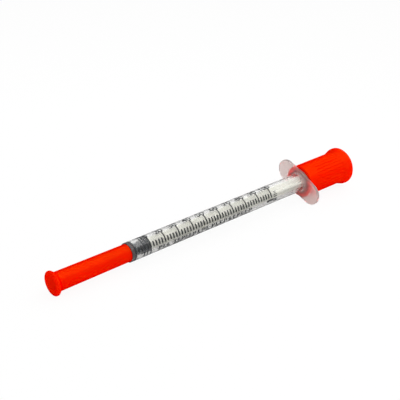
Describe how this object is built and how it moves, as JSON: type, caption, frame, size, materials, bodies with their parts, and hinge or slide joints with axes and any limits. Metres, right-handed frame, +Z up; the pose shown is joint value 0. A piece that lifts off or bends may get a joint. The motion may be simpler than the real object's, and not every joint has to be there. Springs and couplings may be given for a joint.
{
  "type": "insulin syringe",
  "caption": "Slim clear graduated syringe barrel with a fixed needle, plunger, finger flange, push-on needle shield and ribbed plunger cap, lying on its side.",
  "frame": {"origin": "on the barrel's axis at the zero line of the scale, which is the floor of the bore", "axes": "+X along the axis from the needle towards the plunger's thumb press, +Z up as the syringe lies on its side"},
  "size_m": [0.1278, 0.0198, 0.0134],
  "materials": {
    "clear_polypropylene": "clear moulded plastic, polished",
    "natural_polypropylene": "milky moulded plastic",
    "orange_polyethylene": "satin moulded orange-red plastic",
    "black_rubber": "smooth moulded rubber",
    "black_ink": "printed ink",
    "stainless_steel": "drawn steel tube",
    "clear_glue": "cured clear glue"
  },
  "bodies": {
    "barrel": {"barrel": "clear_polypropylene", "scale_lines": "black_ink", "needle": "stainless_steel", "needle_glue": "clear_glue"},
    "needle_shield": {"needle_shield": "orange_polyethylene"},
    "plunger": {"plunger_rod": "natural_polypropylene", "stopper": "black_rubber"},
    "plunger_cap": {"plunger_cap": "orange_polyethylene"}
  },
  "joints": [
    {"name": "plunger_slide", "type": "slide", "parent": "barrel", "child": "plunger", "axis": [1, 0, 0], "range_m": [0, 0.063]},
    {"name": "needle_shield_pull", "type": "slide", "parent": "barrel", "child": "needle_shield", "axis": [-1, 0, 0], "range_m": [0, 0.026]},
    {"name": "plunger_cap_pull", "type": "slide", "parent": "plunger", "child": "plunger_cap", "axis": [1, 0, 0], "range_m": [0, 0.025]}
  ]
}
